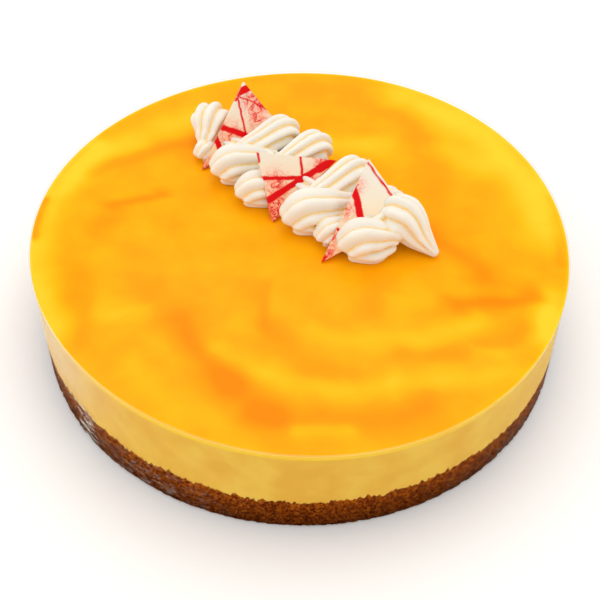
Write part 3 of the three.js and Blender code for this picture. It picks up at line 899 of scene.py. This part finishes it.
# Where the film is wrinkled and catches the light: degrees round the cake, width in degrees, lowest and
# highest share of its height, and how much of the light it throws back there. Each fades over a share of the
# height past its ends.
WRINKLES = [
    (-138.5, 3, 0.14, 0.34, 0.9),
    (-146, 6, 0.42, 0.6, 0.3),
    (-122, 14, 0.1, 0.26, 0.14),
    (-40, 12, 0.0, 0.2, 0.08),
    (-20, 6, 0.0, 0.4, 0.08),
]
WRINKLE_FADE = 0.08
# Where pale haze is painted on the upper film, for its milkiness and the light it reflects there: degrees
# round the cake, width in degrees, how strong the haze is, and the shares of its height where it starts and is
# full.
PAINTED_HAZE_SIDE = (-152, 16, 0.2)
PAINTED_HAZE_START = 0.32
PAINTED_HAZE_FULL = 0.72
# The ripples of the lower film: how far they stand off at most, how close they are round the cake, and their
# height.
RIPPLE_DEPTH = 0.5 * MM
RIPPLES_ROUND = 9
RIPPLE_HEIGHT = 12 * MM


class CAKE_OT_film(bpy.types.Operator):
    """Wrap the clear film collar"""

    bl_idname = "cake.film"
    bl_label = "Film Collar"

    def execute(self, context):
        sizes = settings().layers
        piece = drum("film_collar", sizes.radius, sizes.film_foot, sizes.film_top, RIM_SIDES, "NOTHING")
        cut_rows(piece, sizes.film_foot, sizes.film_top, FILM_ROWS)

        def ripple(point):
            angle = math.atan2(point.y, point.x)
            low = 1 - min(1, point.z / sizes.base_top)
            spot = (math.cos(angle) * RIPPLES_ROUND, math.sin(angle) * RIPPLES_ROUND, point.z / RIPPLE_HEIGHT)
            factor = 1 + RIPPLE_DEPTH * low * max(0, noise.noise(Vector(spot))) / sizes.radius
            return Vector((point.x * factor, point.y * factor, point.z))

        def near(point, middle, wide):
            degrees = math.degrees(math.atan2(point.y, point.x))
            return ((degrees - middle) / wide) ** 2

        def wrinkled(point):
            rise = point.z / sizes.film_top
            total = 0
            for middle, wide, low, high, strength in WRINKLES:
                past = max(0, low - rise, rise - high) / WRINKLE_FADE
                total += strength * math.exp(-near(point, middle, wide) - past ** 2)
            return total

        # Painted grey and a painted highlight line, on the free lip above the glaze.
        def lip(point):
            return max(0, (point.z - sizes.glaze_top) / (sizes.film_top - sizes.glaze_top))

        # Painted haze: pale haze for the film's milkiness and the light it reflects, on one side of the upper
        # film.
        def clouded(point):
            middle, wide, strength = PAINTED_HAZE_SIDE
            upper = (point.z / sizes.film_top - PAINTED_HAZE_START) / (PAINTED_HAZE_FULL - PAINTED_HAZE_START)
            return strength * max(0, min(1, upper)) * math.exp(-near(point, middle, wide))

        move_points(piece, ripple)
        finish_with(piece, "SOLIDIFY", thickness=sizes.film_thickness, offset=-1)
        paint(piece, "wrinkled", wrinkled)
        paint(piece, "lip", lip)
        paint(piece, "clouded", clouded)
        move_points(piece, out_of_round)
        smooth(piece, 50)
        wear(piece, clear_acetate_film())
        settle(piece, "acetate_collar")
        return {"FINISHED"}


# A small share of a strand's length, over which its direction is measured.
STEP_AHEAD = 0.01
# Closer to a strand's axis than this, on a ball of radius 1, is its pole.
POLE = 1e-4
# Sides of a strand and rings along it.
STRAND_FACES = (96, 120)
CORE_FACES = (64, 96)
TAIL_FACES = (96, 64)
# How often the depth of the creases is spread to the neighbours, and how strongly the painted shade in the
# creases shows then.
CREASE_SPREADS = 5
CREASE_GAIN = 14


def ridged_strand(name, spine, radius_at, ridges, faces):
    """A ball drawn out along a spine into a rope of cream with ridges, rounded at both ends."""
    sizes = settings().cream
    bpy.ops.object.select_all(action="DESELECT")
    bpy.ops.mesh.primitive_uv_sphere_add(segments=faces[0], ring_count=faces[1], radius=1, location=(0, 0, 0))
    piece = new_piece(name)
    side = (spine(STEP_AHEAD) - spine(0)).cross(Vector((0, 0, 1))).normalized()

    def draw_out(point):
        part = math.acos(max(-1, min(1, point.z))) / math.pi
        centre = spine(part)
        ahead = (spine(min(1, part + STEP_AHEAD)) - spine(max(0, part - STEP_AHEAD))).normalized()
        across = (side - ahead * side.dot(ahead)).normalized()
        upward = ahead.cross(across)
        round_it = math.atan2(point.y, point.x)
        tooth = ridges * (round_it + sizes.ridge_twist * part) / math.tau % 1
        crest = math.sin(math.pi * tooth ** RIDGE_LEAN)
        at_pole = math.hypot(point.x, point.y) < POLE
        reach = 0 if at_pole else radius_at(part) * (1 - sizes.ridge_depth * (1 - crest))
        return centre + across * (reach * math.cos(round_it)) - upward * (reach * math.sin(round_it))

    move_points(piece, draw_out)
    return piece


def steps_between(points):
    """The share of the way that each step of a path takes up, more even than its length."""
    return [(b - a).length ** 0.5 for a, b in zip(points, points[1:])]


def step_at(steps, part):
    """The step that a share of the way falls in, and how far into it."""
    left = part * sum(steps)
    for i, step in enumerate(steps):
        if left <= step or i == len(steps) - 1:
            return i, left / step
        left -= step


def through(points):
    """A smooth path through points, as a function of the share of the way along it."""
    padded = [2 * points[0] - points[1], *points, 2 * points[-1] - points[-2]]
    steps = steps_between(points)

    def at(part):
        i, t = step_at(steps, part)
        a, b, c, d = padded[i:i + 4]
        bend = (c - a) * t + (2 * a - 5 * b + 4 * c - d) * t ** 2 + (3 * b - a - 3 * c + d) * t ** 3
        return 0.5 * (2 * b + bend)

    return at


def through_values(points, values):
    """A smooth run of values, each met at its point of the path, rounded off at both ends."""
    steps = steps_between(points)

    def at(part):
        i, t = step_at(steps, part)
        t = min(1, t)
        if i == 0:
            return values[1] * math.sqrt(max(0, 1 - (1 - t) ** 2))
        if i == len(steps) - 1:
            return values[-2] * math.sqrt(max(0, 1 - t ** 2))
        ease = t * t * (3 - 2 * t)
        return values[i] * (1 - ease) + values[i + 1] * ease

    return at


class CAKE_OT_cream(bpy.types.Operator):
    """Pipe the rope of cream"""

    bl_idname = "cake.cream"
    bl_label = "Whipped Cream"

    def execute(self, context):
        sizes = settings().cream
        strands = []
        for turn in CREAM_TURNS:
            front, side, back, radii = (turn[k] for k in ("front", "side", "back", "radii"))
            narrow = (radii[0], radii[0])
            strands.append(self.stretch("shell", front, side, narrow, SHELL_PATH, sizes.shell_ridges))
            strands.append(self.stretch("lip", front, side, narrow, LIP_PATH, sizes.lip_ridges))
            strands.append(self.stretch("sweep", front, back, radii, SWEEP_PATH, sizes.sweep_ridges))
        strands.append(self.core())
        strands.append(self.tail())
        select_only(*strands)
        bpy.ops.object.join()
        piece = new_piece("piped_cream")
        self.melt_together(piece)
        self.shade_creases(piece)
        finish_with(piece, "DECIMATE", ratio=sizes.kept)
        smooth(piece, 80)
        wear(piece, whipped_cream_surface())
        settle(piece, "whipped_cream")
        return {"FINISHED"}

    def stretch(self, name, start, end, radii, stations, ridges):
        """One stretch of a turn, along one of the paths above."""
        start, end = Vector(start) * MM, Vector(end) * MM
        ahead = (end - start).normalized()
        aside = Vector((ahead.y, -ahead.x))
        path, girths = [], []
        for part, past, side, rise, girth in stations:
            radius = (radii[0] * (1 - part) + radii[1] * part) * MM
            spot = start.lerp(end, part) + ahead * (past * radius) + aside * (side * radius)
            path.append(Vector((*spot, settings().layers.glaze_top + rise * radius)))
            girths.append(girth * radius)
        return ridged_strand(name, through(path), through_values(path, girths), ridges, STRAND_FACES)

    def core(self):
        """The cream in the middle of the coil, which fills it between the turns."""
        sizes = settings().cream
        raised = Vector((0, 0, settings().layers.glaze_top + sizes.core_height))
        path = []
        for turn in CREAM_TURNS:
            middle = sum((Vector(turn[k]) for k in ("front", "side", "back")), Vector((0, 0))) / 3 * MM
            path.append(middle.to_3d() + raised)

        def girth(part):
            return sizes.core_radius * math.sqrt(max(0, 1 - (2 * part - 1) ** 4))

        return ridged_strand("core", through(path), girth, sizes.sweep_ridges, CORE_FACES)

    def tail(self):
        """The last of the rope, drawn off to a blunt point on the glaze."""
        start, crest, end = (Vector(CREAM_TAIL[k]) * MM for k in ("start", "crest", "end"))
        radius = CREAM_TAIL["radius"] * MM
        path = [spot.to_3d() + Vector((0, 0, settings().layers.glaze_top + rise * radius))
                for spot, rise in zip((start, crest, (crest + end) / 2, end), CREAM_TAIL["heights"])]

        def girth(part):
            rounding = math.sqrt(min(1, part / TAIL_ROUNDING))
            return radius * rounding * (1 - TAIL_DRAW * max(0, part - TAIL_FULL) / (1 - TAIL_FULL))

        return ridged_strand("tail", through(path), girth, settings().cream.sweep_ridges, TAIL_FACES)

    def melt_together(self, piece):
        """Makes one skin of all strands, cut off flat a little under the glaze."""
        sizes = settings().cream
        cut = settings().layers.glaze_top - sizes.sunk
        edit_only(piece, "vertices", lambda vertex: True)
        bpy.ops.mesh.remove_doubles(threshold=0.001 * MM)
        bpy.ops.mesh.select_all(action="SELECT")
        bpy.ops.mesh.normals_make_consistent(inside=False)
        close_edit()
        finish_with(piece, "REMESH", mode="VOXEL", voxel_size=sizes.grain, adaptivity=0)
        edit_only(piece, "vertices", lambda vertex: True)
        bpy.ops.mesh.bisect(plane_co=(0, 0, cut), plane_no=(0, 0, 1), use_fill=True,
                            clear_inner=True, clear_outer=False)
        close_edit()
        finish_with(piece, "SMOOTH", factor=0.5, iterations=1)

    def shade_creases(self, piece):
        """Stores how deep in the creases every vertex lies, spread a little to its neighbours, as the mask of
        the painted shade there.
        """
        mesh = bmesh.new()
        mesh.from_mesh(piece.data)
        hollow = []
        for vertex in mesh.verts:
            around = [edge.other_vert(vertex).co for edge in vertex.link_edges]
            middle = sum(around, Vector()) / len(around)
            hollow.append((middle - vertex.co) @ vertex.normal / settings().cream.grain)
        neighbours = [[edge.other_vert(vertex).index for edge in vertex.link_edges] for vertex in mesh.verts]
        for _ in range(CREASE_SPREADS):
            hollow = [(h + sum(hollow[i] for i in near)) / (1 + len(near))
                      for h, near in zip(hollow, neighbours)]
        mesh.free()
        # The mask of the painted shade in the creases.
        attribute = piece.data.attributes.new("crease", "FLOAT", "POINT")
        attribute.data.foreach_set("value", [max(0.0, min(1.0, CREASE_GAIN * h)) for h in hollow])


# The edge of a red band fades over this width, and wanders by this far over stretches of this length.
BAND_EDGE = 0.35 * MM
BAND_WANDER = 0.35 * MM
BAND_WANDER_LENGTH = 2.5 * MM


class CAKE_OT_shards(bpy.types.Operator):
    """Snap the chocolate shards and stand them in the cream"""

    bl_idname = "cake.shards"
    bl_label = "Chocolate Shards"

    def execute(self, context):
        for name, facts in SHARDS.items():
            self.stand(name, facts)
        return {"FINISHED"}

    def stand(self, name, facts):
        """Makes one shard from its three corners, the decorated face first."""
        sizes = settings().shards
        glaze = Vector((0, 0, settings().layers.glaze_top))
        corners = [Vector(facts[k]) * MM + glaze for k in ("left", "right", "top")]
        bpy.ops.object.select_all(action="DESELECT")
        bpy.ops.mesh.primitive_circle_add(vertices=3, radius=10 * MM, fill_type="NGON", location=(0, 0, 0))
        piece = new_piece(name.replace("chocolate_shard", "marbled_shard"))
        for vertex, corner in zip(piece.data.vertices, corners):
            vertex.co = corner
        piece.data.update()
        edit_only(piece, "polygons", lambda face: True)
        bpy.ops.mesh.subdivide(number_cuts=sizes.cuts)
        close_edit()
        self.decorate(piece, facts, *corners)
        finish_with(piece, "SOLIDIFY", thickness=sizes.thickness, offset=-1)
        finish_with(piece, "BEVEL", width=sizes.edge_rounding, segments=2, limit_method="ANGLE")
        smooth(piece, 40)
        wear(piece, marbled_white_chocolate())
        settle(piece, name)

    def decorate(self, piece, facts, left, right, top):
        """Paints the red bands and the blushes on a shard's face."""
        def place(shares):
            return left + (right - left) * shares[0] + (top - left) * shares[1]

        def redness(point):
            spot = point + noise.noise_vector(point / BAND_WANDER_LENGTH) * BAND_WANDER
            strongest = 0
            for stops, width in facts["bands"]:
                for start, end in zip(stops, stops[1:]):
                    inside = width * MM / 2 - self.distance(spot, place(start), place(end))
                    strongest = max(strongest, min(1, inside / BAND_EDGE + 0.5))
            return strongest

        def flush(point):
            return min(1, sum(math.exp(-((point - place(spot)).length / (size * MM)) ** 2)
                              for spot, size in facts["blushes"]))

        paint(piece, "band", redness)
        paint(piece, "blush", flush)

    def distance(self, point, start, end):
        """How far a point is from the straight line between two others."""
        along = end - start
        part = max(0, min(1, (point - start) @ along / (along @ along)))
        return (point - start - along * part).length


# The studio's lamps: place in metres, side of the square in metres, and power in watts.
LAMPS = {
    "overhead_softbox": ((0.1, 0.35, 1.3), 1.2, 4.0),
    "left_softbox": ((-1.3, -0.2, 0.75), 0.9, 2.0),
}


class CAKE_OT_stage(bpy.types.Operator):
    """Set the floor, the camera and the lights"""

    bl_idname = "cake.stage"
    bl_label = "Studio"

    def execute(self, context):
        studio = settings().studio
        bpy.ops.object.select_all(action="DESELECT")
        bpy.ops.mesh.primitive_plane_add(size=studio.floor_size, location=(0, 0, 0))
        floor = new_piece("floor")
        wear(floor, pale_studio_floor())
        self.set_camera(context, studio)
        self.set_lights(context, studio)
        return {"FINISHED"}

    def set_camera(self, context, studio):
        """Places the camera in front of the cake and above it."""
        back = Vector((0, -math.cos(studio.elevation), math.sin(studio.elevation)))
        aim = Vector((0, 0, studio.aim_height)) + cake_centre()
        bpy.ops.object.camera_add(location=aim + back * studio.distance)
        camera = new_piece("camera")
        camera.rotation_mode = "QUATERNION"
        roll = Quaternion((0, 0, 1), studio.roll)
        camera.rotation_quaternion = (-back).to_track_quat("-Z", "Y") @ roll
        camera.data.sensor_width = 36
        camera.data.lens = studio.lens
        camera.data.shift_x = studio.shift_x
        camera.data.shift_y = studio.shift_y
        camera.data.clip_start = 0.01
        context.scene.camera = camera

    def set_lights(self, context, studio):
        """Fills the studio with white light and adds its soft lamps."""
        world = bpy.data.worlds.new("studio_air")
        context.scene.world = world
        world.use_nodes = True
        air = world.node_tree.nodes["Background"]
        air.inputs["Color"].default_value = (1.0, 1.0, 1.0, 1)
        air.inputs["Strength"].default_value = studio.air
        for name, (place, size, power) in LAMPS.items():
            bpy.ops.object.select_all(action="DESELECT")
            bpy.ops.object.light_add(type="AREA", location=place)
            lamp = new_piece(name)
            lamp.data.shape = "SQUARE"
            lamp.data.size = size
            lamp.data.energy = power
            lamp.rotation_mode = "QUATERNION"
            lamp.rotation_quaternion = (-Vector(place)).to_track_quat("-Z", "Y")
        context.scene.view_settings.view_transform = "Standard"


class CAKE_PT_panel(bpy.types.Panel):
    """The cake's pieces, in the order in which they are made"""

    bl_idname = "CAKE_PT_panel"
    bl_label = "Mousse Cake"
    bl_space_type = "VIEW_3D"
    bl_region_type = "UI"
    bl_category = "Cake"

    def draw(self, context):
        for step in STEPS:
            self.layout.operator(step.bl_idname)
        for group in ("layers", "cream", "shards", "colours", "studio"):
            box = self.layout.box()
            values = getattr(settings(), group)
            for name in values.__annotations__:
                box.prop(values, name)


GROUPS = [LayerSizes, CreamSizes, ShardSizes, CakeColours, StudioSettings, CakeSettings]
STEPS = [CAKE_OT_crumb_base, CAKE_OT_mousse, CAKE_OT_glaze, CAKE_OT_film, CAKE_OT_cream, CAKE_OT_shards,
         CAKE_OT_stage]


def register():
    for item in (*GROUPS, *STEPS, CAKE_PT_panel):
        bpy.utils.register_class(item)
    bpy.types.Scene.mousse_cake = bpy.props.PointerProperty(type=CakeSettings)


def unregister():
    del bpy.types.Scene.mousse_cake
    for item in reversed((*GROUPS, *STEPS, CAKE_PT_panel)):
        bpy.utils.unregister_class(item)


def main():
    noise.seed_set(DRIFT_SEED)
    register()
    bpy.ops.cake.crumb_base()
    bpy.ops.cake.mousse()
    bpy.ops.cake.glaze()
    bpy.ops.cake.film()
    bpy.ops.cake.cream()
    bpy.ops.cake.shards()
    bpy.ops.cake.stage()


if __name__ == "__main__":
    main()
